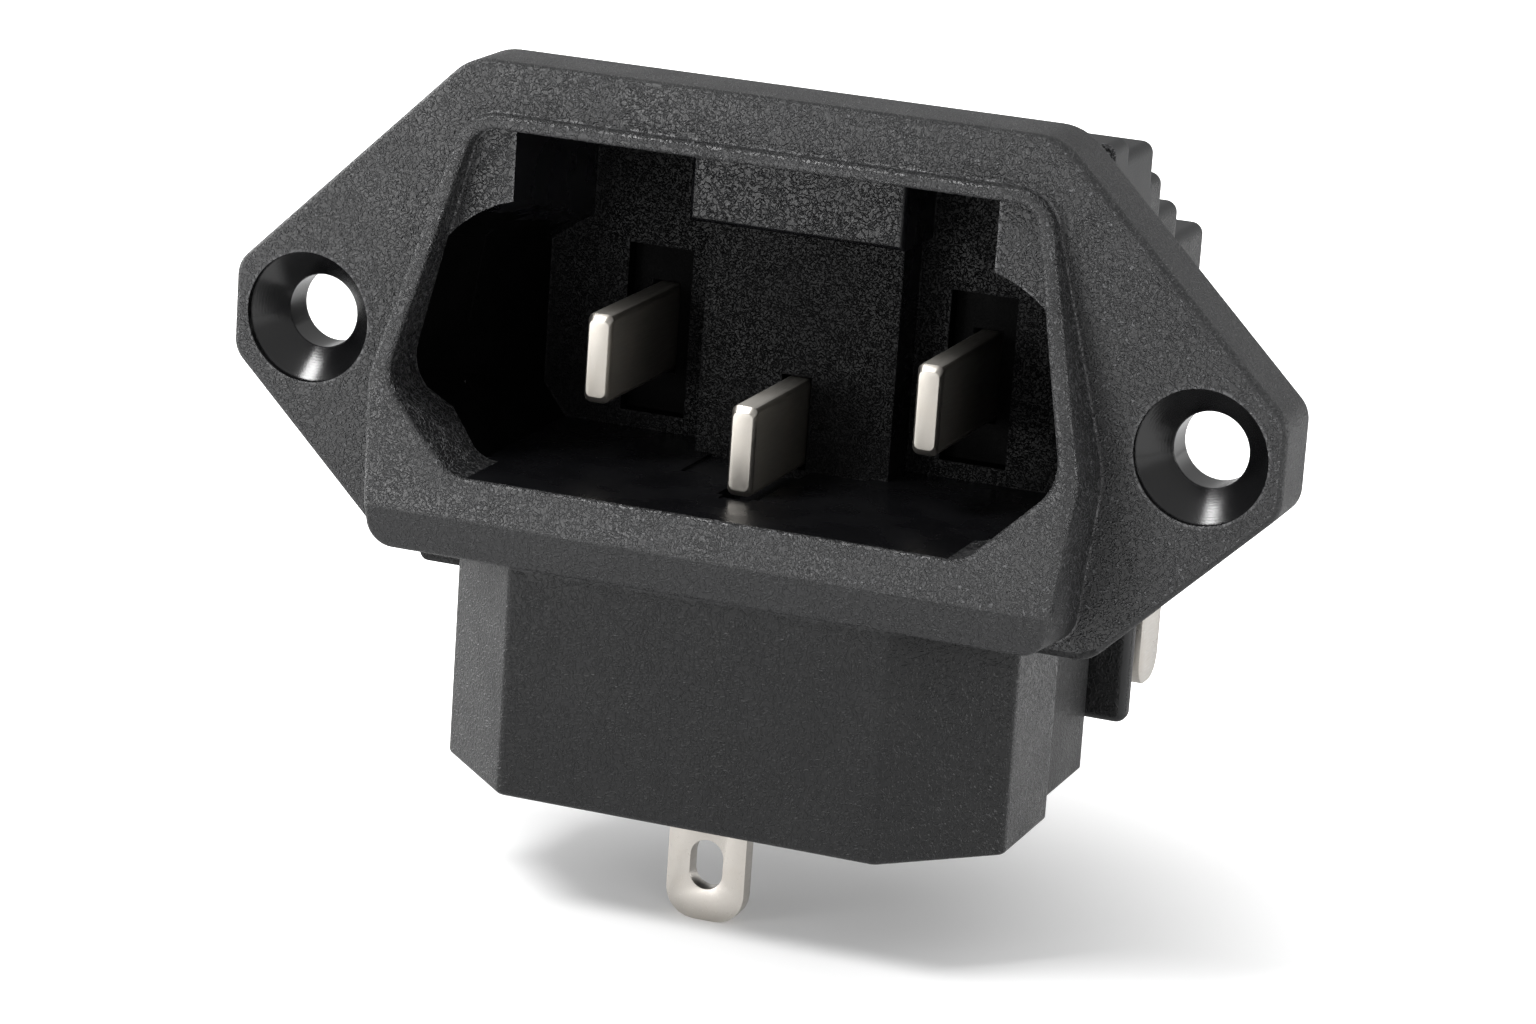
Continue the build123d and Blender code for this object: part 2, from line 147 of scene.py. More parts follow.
class Graph:
    """A node tree, with short calls that add nodes and join them."""

    def __init__(self, tree: bpy.types.NodeTree) -> None:
        """Keeps the tree to build in."""
        self.tree = tree

    def add(self, kind: str, **settings: object) -> bpy.types.Node:
        """Adds a node and sets its plain properties.

        Args:
            kind: The node's type name.
            settings: Property names and values.

        Returns:
            The new node.
        """
        node = self.tree.nodes.new(kind)
        for name, value in settings.items():
            setattr(node, name, value)
        return node

    def feed(self, target: bpy.types.NodeSocket, source: object) -> None:
        """Links a socket into another, or sets it to a plain value.

        Args:
            target: The input that is fed.
            source: A socket, a number or a colour.
        """
        if isinstance(source, bpy.types.NodeSocket):
            self.tree.links.new(source, target)
        else:
            target.default_value = source

    def maths(self, operation: str, *values: object, clamp: bool = False) -> bpy.types.NodeSocket:
        """Adds a Math node.

        Args:
            operation: What the node works out.
            values: Its inputs, sockets or numbers.
            clamp: Whether the result stays between 0 and 1.

        Returns:
            The result's socket.
        """
        node = self.add("ShaderNodeMath", operation=operation, use_clamp=clamp)
        for socket, value in zip(node.inputs, values):
            self.feed(socket, value)
        return node.outputs[0]

    def ramp(
        self, value: object, low: float, high: float, start: float = 0.0, end: float = 1.0
    ) -> bpy.types.NodeSocket:
        """Maps a range onto another, smoothly and held at its ends.

        Args:
            value: The value that is mapped.
            low: Where the mapping starts.
            high: Where it ends.
            start: The result at low.
            end: The result at high.

        Returns:
            The result's socket.
        """
        node = self.add("ShaderNodeMapRange", interpolation_type="SMOOTHSTEP")
        for socket, number in zip(node.inputs, (value, low, high, start, end)):
            self.feed(socket, number)
        return node.outputs[0]

    def blend(self, share: object, first: object, second: object) -> bpy.types.NodeSocket:
        """Mixes two colours by a share.

        Args:
            share: How much of the second colour shows.
            first: The colour at a share of 0.
            second: The colour at a share of 1.

        Returns:
            The colour's socket.
        """
        node = self.add("ShaderNodeMix", data_type="RGBA")
        self.feed(node.inputs["Factor"], share)
        self.feed(node.inputs[MIX_FIRST], first)
        self.feed(node.inputs[MIX_SECOND], second)
        return node.outputs[MIX_RESULT]

    def noise(
        self, place: object, scale: object, detail: float = 2.0, distortion: float = 0.0
    ) -> bpy.types.NodeSocket:
        """Adds a noise texture.

        Args:
            place: The coordinates that it reads.
            scale: Its scale, in features per metre.
            detail: Its octaves.
            distortion: How much it is bent.

        Returns:
            The socket of its value.
        """
        node = self.add("ShaderNodeTexNoise")
        self.feed(node.inputs["Vector"], place)
        self.feed(node.inputs["Scale"], scale)
        node.inputs["Detail"].default_value = detail
        node.inputs["Distortion"].default_value = distortion
        return node.outputs["Fac"]

    def place(self) -> bpy.types.NodeSocket:
        """Object coordinates."""
        return self.add("ShaderNodeTexCoord").outputs["Object"]

    def group(self, tree: bpy.types.NodeTree, **values: object) -> bpy.types.Node:
        """Places a node group with its own values.

        Args:
            tree: The group's tree.
            values: Its inputs by name.

        Returns:
            The group node.
        """
        node = self.add("ShaderNodeGroup", node_tree=tree)
        for name, value in values.items():
            self.feed(node.inputs[name], value)
        return node

    def parts(self, vector: object) -> bpy.types.bpy_prop_collection:
        """The X, Y and Z of a vector, as output sockets."""
        node = self.add("ShaderNodeSeparateXYZ")
        self.feed(node.inputs[0], vector)
        return node.outputs

    def round_edges(self, radius: object) -> bpy.types.Node:
        """Adds a Bevel node with a radius in metres."""
        node = self.add("ShaderNodeBevel", samples=BEVEL_RAYS)
        self.feed(node.inputs["Radius"], radius)
        return node

    def bump(self, height: object, depth: float) -> bpy.types.Node:
        """Adds a Bump node.

        Args:
            height: The height that it reads.
            depth: How far a height of 1 stands out, in millimetres.

        Returns:
            The new node.
        """
        node = self.add("ShaderNodeBump")
        self.feed(node.inputs["Distance"], depth * MM)
        self.feed(node.inputs["Height"], height)
        return node


def new_group(
    name: str, inputs: dict[str, float], outputs: Iterable[str]
) -> tuple[Graph, bpy.types.Node, bpy.types.Node]:
    """Starts a shader node group with named number sockets.

    Args:
        name: The group's name.
        inputs: Its inputs and their defaults.
        outputs: Its outputs.

    Returns:
        The group's graph, its input node and its output node.
    """
    tree = bpy.data.node_groups.new(name, "ShaderNodeTree")
    for label, value in inputs.items():
        socket = tree.interface.new_socket(name=label, in_out="INPUT", socket_type="NodeSocketFloat")
        socket.default_value = value
    for label in outputs:
        tree.interface.new_socket(name=label, in_out="OUTPUT", socket_type="NodeSocketFloat")
    graph = Graph(tree)
    return graph, graph.add("NodeGroupInput"), graph.add("NodeGroupOutput")


def make_mould_grain() -> bpy.types.NodeTree:
    """The leathery grain of an eroded mould: short bent worms with fine grit between them."""
    graph, given, result = new_group("mould_grain", {"Scale": 3000.0, "Grit": 0.3}, ("Height", "Tone"))
    place = graph.place()
    worms = graph.noise(place, given.outputs["Scale"], detail=1.0, distortion=0.5)
    ridge = graph.maths("ABSOLUTE", graph.maths("SUBTRACT", worms, 0.5))
    crest = graph.ramp(ridge, low=0.0, high=0.085, start=1.0, end=0.0)
    finer = graph.maths("MULTIPLY", given.outputs["Scale"], 2.1)
    grit = graph.noise(place, finer, detail=2.0, distortion=0.4)
    rest = graph.maths("SUBTRACT", 1.0, given.outputs["Grit"])
    worm_part = graph.maths("MULTIPLY", crest, rest)
    grit_part = graph.maths("MULTIPLY", grit, given.outputs["Grit"])
    graph.feed(result.inputs["Height"], graph.maths("ADD", worm_part, grit_part))
    graph.feed(result.inputs["Tone"], graph.noise(place, TONE_PATCHES, detail=3.0))
    return graph.tree


def make_edge_wear_and_highlight() -> bpy.types.NodeTree:
    """Edges painted a little paler, broken up by noise: partly rubbing, partly a painted highlight along lit
    edges.
    """
    graph, given, result = new_group("edge_wear", {"Width": 0.00025, "Amount": 0.5}, ("Mask",))
    rounded = graph.round_edges(given.outputs["Width"])
    true_normal = graph.add("ShaderNodeNewGeometry").outputs["Normal"]
    alike = graph.add("ShaderNodeVectorMath", operation="DOT_PRODUCT")
    graph.feed(alike.inputs[0], rounded.outputs["Normal"])
    graph.feed(alike.inputs[1], true_normal)
    edge = graph.ramp(alike.outputs["Value"], low=0.995, high=0.86)
    patches = graph.noise(graph.place(), WORN_BREAKS, detail=4.0)
    broken = graph.ramp(patches, low=0.35, high=0.62, start=0.25)
    worn_and_lit_edge = graph.maths("MULTIPLY", graph.maths("MULTIPLY", edge, broken), given.outputs["Amount"])
    graph.feed(result.inputs["Mask"], worn_and_lit_edge)
    return graph.tree


def make_fine_dust() -> bpy.types.NodeTree:
    """Specks of dust and a faint haze, thicker on surfaces that face up."""
    graph, given, result = new_group("fine_dust", {"Amount": 0.3}, ("Mask",))
    place = graph.place()
    cells = graph.add("ShaderNodeTexVoronoi", feature="F1")
    graph.feed(cells.inputs["Vector"], place)
    cells.inputs["Scale"].default_value = DUST_SPECKS
    speck = graph.ramp(cells.outputs["Distance"], low=0.10, high=0.05)
    rare = graph.ramp(graph.noise(place, DUST_CLUMPS), low=0.60, high=0.68)
    haze = graph.ramp(graph.noise(place, DUST_HAZE, detail=4.0), low=0.45, high=0.75, end=0.25)
    facing = graph.parts(graph.add("ShaderNodeTexCoord").outputs["Normal"])
    upward = graph.ramp(facing["Z"], low=-0.2, high=0.9, start=0.35)
    dust = graph.maths("ADD", graph.maths("MULTIPLY", speck, rare), haze)
    laid = graph.maths("MULTIPLY", dust, upward)
    graph.feed(result.inputs["Mask"], graph.maths("MULTIPLY", laid, given.outputs["Amount"], clamp=True))
    return graph.tree


def make_fine_scratches() -> bpy.types.NodeTree:
    """Fine brushed lines that run into the panel, with a mottled tone over them."""
    graph, given, result = new_group("fine_scratches", {"Scale": 1.0}, ("Height", "Tone"))
    stretch = graph.add("ShaderNodeMapping", vector_type="POINT")
    graph.feed(stretch.inputs["Vector"], graph.place())
    stretch.inputs["Scale"].default_value = BRUSHED_LINES
    lines = graph.noise(stretch.outputs[0], given.outputs["Scale"], detail=3.0)
    graph.feed(result.inputs["Height"], lines)
    graph.feed(result.inputs["Tone"], graph.noise(graph.place(), METAL_MOTTLE, detail=4.0))
    return graph.tree


@dataclass
class Effects:
    """The node groups that the finishes share."""

    grain: bpy.types.NodeTree
    wear_and_highlight: bpy.types.NodeTree
    dust: bpy.types.NodeTree
    scratches: bpy.types.NodeTree

    @classmethod
    def build(cls) -> "Effects":
        """Makes every group once."""
        return cls(make_mould_grain(), make_edge_wear_and_highlight(), make_fine_dust(), make_fine_scratches())


# ---------------------------------------------------------------- finishes


def new_material(name: str) -> tuple[bpy.types.Material, Graph, bpy.types.Node]:
    """Starts a material, and gives it with its graph and its shader."""
    material = bpy.data.materials.new(name)
    material.use_nodes = True
    return material, Graph(material.node_tree), material.node_tree.nodes["Principled BSDF"]


@dataclass(frozen=True)
class PlasticFinish:
    """Black glass-filled plastic as it leaves one kind of mould surface, or a lighter or darker copy of it
    with painted light and shade.
    """

    name: str
    colour: tuple[float, float, float] = (0.021, 0.022, 0.024)
    worn_and_highlight_colour: tuple[float, float, float] = (0.10, 0.10, 0.105)
    dust_colour: tuple[float, float, float] = (0.16, 0.16, 0.155)
    # Painted shade in the grain's hollows: the colour they are darkened towards, and by how much.
    hollow_shade_colour: tuple[float, float, float] = (0.004, 0.004, 0.0045)
    hollow_shade: float = 0.0
    roughness: float = 0.42
    roughness_spread: float = 0.10
    specular: float = 0.4
    grain_scale: float = 3000.0
    grain_grit: float = 0.3
    grain_depth: float = 0.030
    patch_shade: float = 0.78
    edge_round: float = 0.12
    wear_and_highlight: float = 0.5
    wear_and_highlight_width: float = 0.25
    dust: float = 0.3
    dust_roughness: float = 0.3
    ring_pitch: float = 0.0
    ring_height: float = 0.08

    def material(self, effects: Effects) -> bpy.types.Material:
        """Builds the material from the shared node groups."""
        material, graph, shader = new_material(self.name)
        shader.inputs["Specular IOR Level"].default_value = self.specular
        grain = graph.group(effects.grain, Scale=self.grain_scale, Grit=self.grain_grit)
        wear_and_highlight = graph.group(effects.wear_and_highlight, Width=self.wear_and_highlight_width * MM, Amount=self.wear_and_highlight)
        dust = graph.group(effects.dust, Amount=self.dust)
        shade = graph.ramp(grain.outputs["Tone"], low=0.3, high=0.7)
        darker = tuple(self.patch_shade * part for part in self.colour)
        colour = graph.blend(shade, (*darker, 1.0), (*self.colour, 1.0))
        # Painted shade: the grain's hollows are darkened in the base colour, standing in for the shade that
        # falls in them.
        hollow_shade_share = graph.ramp(grain.outputs["Height"], low=0.1, high=0.6, start=self.hollow_shade, end=0.0)
        colour = graph.blend(hollow_shade_share, colour, (*self.hollow_shade_colour, 1.0))
        # Pale edges: partly real rubbing, partly a painted highlight along the edges that catch the lamps.
        colour = graph.blend(wear_and_highlight.outputs["Mask"], colour, (*self.worn_and_highlight_colour, 1.0))
        colour = graph.blend(dust.outputs["Mask"], colour, (*self.dust_colour, 1.0))
        graph.feed(shader.inputs["Base Color"], colour)
        smooth, rough = self.roughness - self.roughness_spread, self.roughness + self.roughness_spread
        roughness = graph.ramp(grain.outputs["Tone"], low=0.25, high=0.75, start=smooth, end=rough)
        dulled = graph.maths("MULTIPLY", dust.outputs["Mask"], self.dust_roughness)
        graph.feed(shader.inputs["Roughness"], graph.maths("ADD", roughness, dulled, clamp=True))
        height = grain.outputs["Height"]
        if self.ring_pitch > 0:
            height = graph.maths("ADD", height, self.rings(graph))
        bump = graph.bump(height, self.grain_depth)
        graph.feed(bump.inputs["Normal"], graph.round_edges(self.edge_round * MM).outputs["Normal"])
        graph.feed(shader.inputs["Normal"], bump.outputs["Normal"])
        return material

    def rings(self, graph: Graph) -> bpy.types.NodeSocket:
        """The height of turned rings round the axis of the nearer screw hole."""
        parts = graph.parts(graph.place())
        across = graph.maths("SUBTRACT", graph.maths("ABSOLUTE", parts["X"]), SCREW_FROM_MIDDLE * MM)
        squares = [graph.maths("POWER", part, 2.0) for part in (across, parts["Z"])]
        from_axis = graph.maths("SQRT", graph.maths("ADD", *squares))
        turn = graph.maths("MULTIPLY", from_axis, 2 * math.pi / (self.ring_pitch * MM))
        return graph.maths("MULTIPLY", graph.maths("SINE", turn), self.ring_height)


@dataclass(frozen=True)
class MetalFinish:
    """Satin nickel plate on brass, with painted shade towards the root where root_shade is set."""

    name: str
    colour: tuple[float, float, float] = (0.61, 0.575, 0.525)
    tarnish_colour: tuple[float, float, float] = (0.50, 0.45, 0.38)
    tarnish: float = 0.35
    roughness: float = 0.30
    roughness_spread: float = 0.07
    metallic: float = 1.0
    root_shade_colour: tuple[float, float, float] = (0.04, 0.037, 0.033)
    root_shade: float = 0.0
    nose_y: float = -2.6
    root_y: float = 5.0
    line_depth: float = 0.0004
    wear_and_highlight: float = 0.3
    wear_and_highlight_width: float = 0.15
    worn_shine: float = 1.15

    def material(self, effects: Effects) -> bpy.types.Material:
        """Builds the material from the shared node groups."""
        material, graph, shader = new_material(self.name)
        shader.inputs["Metallic"].default_value = self.metallic
        lines = graph.group(effects.scratches, Scale=1.0)
        wear_and_highlight = graph.group(effects.wear_and_highlight, Width=self.wear_and_highlight_width * MM, Amount=self.wear_and_highlight)
        tarnish = graph.ramp(lines.outputs["Tone"], low=0.45, high=0.75, end=self.tarnish)
        colour = graph.blend(tarnish, (*self.colour, 1.0), (*self.tarnish_colour, 1.0))
        bright = tuple(min(1.0, self.worn_shine * part) for part in self.colour)
        colour = graph.blend(wear_and_highlight.outputs["Mask"], colour, (*bright, 1.0))
        # Painted shade: the blade darkens towards its root, far back in the socket where little light
        # reaches.
        if self.root_shade > 0:
            depth = graph.parts(graph.place())["Y"]
            deep = graph.ramp(depth, self.nose_y * MM, self.root_y * MM, end=self.root_shade)
            colour = graph.blend(deep, colour, (*self.root_shade_colour, 1.0))
        graph.feed(shader.inputs["Base Color"], colour)
        smooth, rough = self.roughness - self.roughness_spread, self.roughness + self.roughness_spread
        roughness = graph.ramp(lines.outputs["Height"], low=0.3, high=0.7, start=smooth, end=rough)
        graph.feed(shader.inputs["Roughness"], roughness)
        bump = graph.bump(lines.outputs["Height"], self.line_depth)
        graph.feed(shader.inputs["Normal"], bump.outputs["Normal"])
        return material


PLASTIC_FINISHES = {
    # GRAINED is a lit copy of the black plastic: its pale colour paints the highlights that the lamps raise
    # on the grain of the front faces, its dark hollows the shade between them. The grain itself is real.
    Zone.GRAINED: PlasticFinish(
        "grained_black_plastic",
        colour=(0.116, 0.117, 0.121),
        worn_and_highlight_colour=(0.23, 0.23, 0.235),
        hollow_shade_colour=(0.008, 0.008, 0.009),
        hollow_shade=0.95,
        roughness=0.34,
        specular=0.65,
        grain_scale=4900.0,
        grain_grit=0.10,
        grain_depth=0.25,
        wear_and_highlight=0.9,
        dust=0.25,
    ),
    Zone.RIM: PlasticFinish(
        "rim_black_plastic",
        colour=(0.023, 0.0235, 0.025),
        hollow_shade=0.5,
        roughness=0.46,
        roughness_spread=0.04,
        specular=0.5,
        grain_scale=4600.0,
        grain_grit=0.4,
        grain_depth=0.07,
        wear_and_highlight=0.6,
    ),
    Zone.SATIN: PlasticFinish(
        "satin_black_plastic",
        colour=(0.013, 0.0135, 0.0145),
        roughness=0.48,
        roughness_spread=0.03,
        specular=0.45,
        grain_scale=5200.0,
        grain_grit=0.8,
        grain_depth=0.012,
    ),
    # SOCKET, DEEP and PIT are darker copies of the black plastic for the socket's walls, its back panels and
    # its pockets and lobes: painted shade where little light reaches. PIT is the darkest.
    Zone.SOCKET: PlasticFinish(
        "socket_painted_shade_plastic",
        colour=(0.006, 0.006, 0.007),
        roughness=0.28,
        specular=0.3,
        grain_scale=5200.0,
        grain_grit=0.7,
        grain_depth=0.006,
        edge_round=0.02,
        wear_and_highlight=0.0,
        dust=0.05,
    ),
    Zone.DEEP: PlasticFinish(
        "deep_painted_shade_plastic",
        colour=(0.0045, 0.0045, 0.005),
        hollow_shade=0.35,
        roughness=0.42,
        specular=0.22,
        grain_scale=6400.0,
        grain_grit=0.2,
        grain_depth=0.10,
        wear_and_highlight=0.1,
        dust=0.08,
    ),
    Zone.PIT: PlasticFinish(
        "pit_painted_shade_plastic",
        colour=(0.0012, 0.0012, 0.0013),
        roughness=0.55,
        specular=0.05,
        grain_scale=5200.0,
        grain_depth=0.006,
        edge_round=0.02,
        wear_and_highlight=0.0,
        dust=0.0,
    ),
    Zone.BLOCK: PlasticFinish(
        "block_black_plastic",
        colour=(0.0045, 0.0048, 0.0054),
        hollow_shade=0.25,
        roughness=0.37,
        roughness_spread=0.05,
        specular=0.36,
        grain_scale=4600.0,
        grain_grit=0.5,
        grain_depth=0.05,
    ),
    Zone.TURNED: PlasticFinish(
        "turned_black_plastic",
        colour=(0.004, 0.004, 0.0045),
        roughness=0.19,
        roughness_spread=0.03,
        specular=0.75,
        grain_scale=6500.0,
        grain_grit=0.9,
        grain_depth=0.002,
        wear_and_highlight=0.3,
        dust=0.05,
        ring_pitch=0.10,
    ),
}
BLADE_FINISHES = {
    BladeFace.NOSE: MetalFinish(
        "satin_nickel", colour=(0.50, 0.473, 0.432), roughness=0.38, line_depth=0.0001
    ),
    BladeFace.SIDE: MetalFinish(
        "rolled_nickel",
        colour=(0.40, 0.375, 0.335),
        roughness=0.46,
        roughness_spread=0.08,
        metallic=0.9,
        root_shade=0.75,
    ),
    # Painted light: the top faces get a paler, less metallic copy of the nickel for the light that falls on
    # them from above.
    BladeFace.TOP: MetalFinish(
        "painted_lit_top_nickel",
        colour=(0.66, 0.63, 0.58),
        roughness=0.50,
        roughness_spread=0.10,
        metallic=0.5,
        root_shade=0.8,
    ),
}
TAG_METAL = MetalFinish("pale_nickel", colour=(0.56, 0.53, 0.49), roughness=0.34)


# ---------------------------------------------------------------- modelling by hand


def deselect_all() -> None:
    """Leaves edit mode and deselects every object."""
    if bpy.context.object and bpy.context.object.mode != "OBJECT":
        bpy.ops.object.mode_set(mode="OBJECT")
    bpy.ops.object.select_all(action="DESELECT")


def make_active(piece: bpy.types.Object) -> None:
    """Selects one object and makes it the active one."""
    deselect_all()
    piece.select_set(True)
    bpy.context.view_layer.objects.active = piece


def begin_edit(piece: bpy.types.Object, mode: str) -> None:
    """Enters edit mode with nothing selected. The mode is VERT, EDGE or FACE."""
    make_active(piece)
    bpy.ops.object.mode_set(mode="EDIT")
    bpy.ops.mesh.select_mode(type=mode)
    bpy.ops.mesh.select_all(action="DESELECT")


def pick(piece: bpy.types.Object, mode: str, wanted: Callable[[Vector, Vector], bool]) -> None:
    """Selects the parts of a mesh that a test accepts, and stays in edit mode.

    Args:
        piece: The object, in edit mode.
        mode: VERT, EDGE or FACE.
        wanted: A test of a part's middle in millimetres and its direction or normal.
    """
    bpy.ops.mesh.select_mode(type=mode)
    bpy.ops.mesh.select_all(action="DESELECT")
    bpy.ops.object.mode_set(mode="OBJECT")
    mesh = piece.data
    if mode == "FACE":
        for face in mesh.polygons:
            face.select = wanted(face.center / MM, face.normal)
    elif mode == "EDGE":
        for edge in mesh.edges:
            start, end = (mesh.vertices[index].co for index in edge.vertices)
            edge.select = wanted((start + end) / (2 * MM), (end - start).normalized())
    else:
        for vertex in mesh.vertices:
            vertex.select = wanted(vertex.co / MM, vertex.normal)
    bpy.ops.object.mode_set(mode="EDIT")


def near(value: float, target: float) -> bool:
    """Whether two sizes are the same, within a hundredth of a millimetre."""
    return abs(value - target) < NEAR


def extrude_by(x: float, y: float, z: float) -> None:
    """Extrudes the selection, by millimetres along each axis."""
    bpy.ops.mesh.extrude_region_move(TRANSFORM_OT_translate={"value": (x * MM, y * MM, z * MM)})


def bevel(width: float, steps: int, affect: str = "EDGES") -> None:
    """Bevels the selection, by a width in millimetres."""
    bpy.ops.mesh.bevel(offset=width * MM, segments=steps, affect=affect)


def stretch_about(centre: Vector, x: float, y: float, z: float) -> None:
    """Scales the selection about a point in millimetres."""
    bpy.ops.transform.resize(value=(x, y, z), center_override=tuple(centre * MM))


def add_modifier(piece: bpy.types.Object, kind: str, **settings: object) -> None:
    """Adds a modifier and applies it.

    Args:
        piece: The object.
        kind: The modifier's type.
        settings: Its properties.
    """
    make_active(piece)
    modifier = piece.modifiers.new(kind.lower(), kind)
    for name, value in settings.items():
        setattr(modifier, name, value)
    bpy.ops.object.modifier_apply(modifier=modifier.name)


def soften_edges(piece: bpy.types.Object, width: float) -> None:
    """Rounds every sharp edge of a piece a little, by a width in millimetres."""
    sharp = {"limit_method": "ANGLE", "angle_limit": math.radians(SHARP_ANGLE)}
    add_modifier(piece, "BEVEL", width=width * MM, segments=SOFT_STEPS, **sharp)


def finish_mesh(piece: bpy.types.Object) -> None:
    """Merges doubles, turns the faces outwards, applies the place and smooths the shading."""
    begin_edit(piece, "FACE")
    bpy.ops.mesh.select_all(action="SELECT")
    bpy.ops.mesh.remove_doubles(threshold=SAME_PLACE * MM)
    bpy.ops.mesh.normals_make_consistent(inside=False)
    make_active(piece)
    bpy.ops.object.transform_apply(location=True, rotation=True, scale=True)
    bpy.ops.object.shade_smooth_by_angle(angle=math.radians(SMOOTH_ANGLE))


def add_block(name: str, low: Vector, high: Vector) -> bpy.types.Object:
    """Adds a cube at its size and place, with its place in its mesh.

    Args:
        name: The object's name.
        low: Its lowest corner in millimetres.
        high: Its highest corner in millimetres.

    Returns:
        The new object.
    """
    deselect_all()
    bpy.ops.mesh.primitive_cube_add(size=MM, location=tuple((low + high) / 2 * MM), scale=tuple(high - low))
    piece = bpy.context.object
    piece.name = name
    bpy.ops.object.transform_apply(location=True, rotation=True, scale=True)
    return piece


def add_sheet(name: str, start: Vector, run: Vector, rise: Vector) -> bpy.types.Object:
    """Adds a plane between a corner and two sides, with its place in its mesh.

    Args:
        name: The object's name.
        start: Its first corner in millimetres.
        run: The side along its width.
        rise: The side along its height.

    Returns:
        The new object.
    """
    deselect_all()
    bpy.ops.mesh.primitive_plane_add(size=MM)
    piece = bpy.context.object
    piece.name = name
    across, up = run.normalized(), rise.normalized()
    turned = Matrix((across, up, across.cross(up))).transposed().to_4x4()
    middle = start + (run + rise) / 2
    stretched = Matrix.Diagonal((run.length, rise.length, 1.0, 1.0))
    piece.matrix_world = Matrix.Translation(middle * MM) @ turned @ stretched
    bpy.ops.object.transform_apply(location=True, rotation=True, scale=True)
    return piece


def cut_slot(piece: bpy.types.Object, middle: Vector, across: Vector, width: float, length: float) -> None:
    """Cuts an upright slot with round ends through a tag.

    Args:
        piece: The tag.
        middle: The slot's middle in millimetres.
        across: The direction through the tag.
        width: The slot's width in millimetres.
        length: Its length in millimetres.
    """
    x, y = (width if near(part, 0) else CUTTER_DEPTH for part in across.xy)
    wide = Vector((x, y, length))
    cutter = add_block("slot_cutter", middle - wide / 2, middle + wide / 2)
    begin_edit(cutter, "EDGE")
    pick(cutter, "EDGE", lambda place, line: abs(line.dot(across)) > ALONG)
    bevel(width / 2 * CUTTER_ROUND, CUTTER_STEPS)
    deselect_all()
    add_modifier(piece, "BOOLEAN", object=cutter, operation="DIFFERENCE", solver="EXACT")
    bpy.data.objects.remove(cutter)


def dress(piece: bpy.types.Object, slot: str, node: str, *materials: bpy.types.Material) -> None:
    """Gives a piece its materials and its body, and hides the solid that it stands for.

    Args:
        piece: The finished piece.
        slot: The record's material slot. Not used.
        node: The solid that it stands for.
        materials: Its materials. Its faces keep their own place in this list.
    """
    indices = [face.material_index for face in piece.data.polygons]
    piece.data.materials.clear()
    for material in materials:
        piece.data.materials.append(material)
    for face, index in zip(piece.data.polygons, indices):
        face.material_index = index
    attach(piece, ROOT)
    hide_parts(node)
    log.info("%s: %d faces, stands for %s", piece.name, len(piece.data.polygons), node)


# ---------------------------------------------------------------- mouldings


@dataclass
class Moulding:
    """A moulding: a merged copy of its solid, cut into zones of finish and of painted light and shade."""

    name: str
    node: str
    merge_distance: float = 0.0008
    smooth_angle: float = 28.0

    def build(self) -> bpy.types.Object:
        """Copies the solid, merges its triangles and smooths it."""
        source = frame["nodes"][self.node]
        piece = source.copy()
        piece.data = source.data.copy()
        piece.name = self.name
        piece.data.name = self.name
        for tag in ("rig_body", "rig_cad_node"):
            if tag in piece:
                del piece[tag]
        bpy.context.scene.collection.objects.link(piece)
        piece.parent = None
        begin_edit(piece, "FACE")
        bpy.ops.mesh.select_all(action="SELECT")
        bpy.ops.mesh.remove_doubles(threshold=self.merge_distance * MM)
        bpy.ops.mesh.dissolve_limited(angle_limit=math.radians(FLAT_ANGLE), delimit={"NORMAL"})
        make_active(piece)
        if piece.data.has_custom_normals:
            bpy.ops.mesh.customdata_custom_splitnormals_clear()
        bpy.ops.object.shade_smooth_by_angle(angle=math.radians(self.smooth_angle))
        return piece

    def zone(self, place: Vector, normal: Vector) -> Zone:
        """The zone that a face belongs to.

        Args:
            place: The face's middle in millimetres.
            normal: Its normal.

        Returns:
            The zone.
        """
        raise NotImplementedError

    def paint(self, piece: bpy.types.Object, materials: dict[Zone, bpy.types.Material]) -> None:
        """Gives each face the material of its zone.

        Args:
            piece: The moulding.
            materials: The material of each zone.
        """
        zones = list(Zone)
        piece.data.materials.clear()
        for zone in zones:
            piece.data.materials.append(materials[zone])
        for face in piece.data.polygons:
            zone = self.zone(face.center / MM, face.normal)
            face.material_index = zones.index(zone)
            face.use_smooth = zone is not Zone.PIT

    def dress(self, materials: dict[Zone, bpy.types.Material]) -> bpy.types.Object:
        """Builds the moulding and puts it in place of its solid.

        Args:
            materials: The material of each zone.

        Returns:
            The finished piece.
        """
        piece = self.build()
        self.paint(piece, materials)
        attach(piece, ROOT)
        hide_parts(self.node)
        log.info("%s: %d faces, stands for %s", piece.name, len(piece.data.polygons), self.node)
        return piece


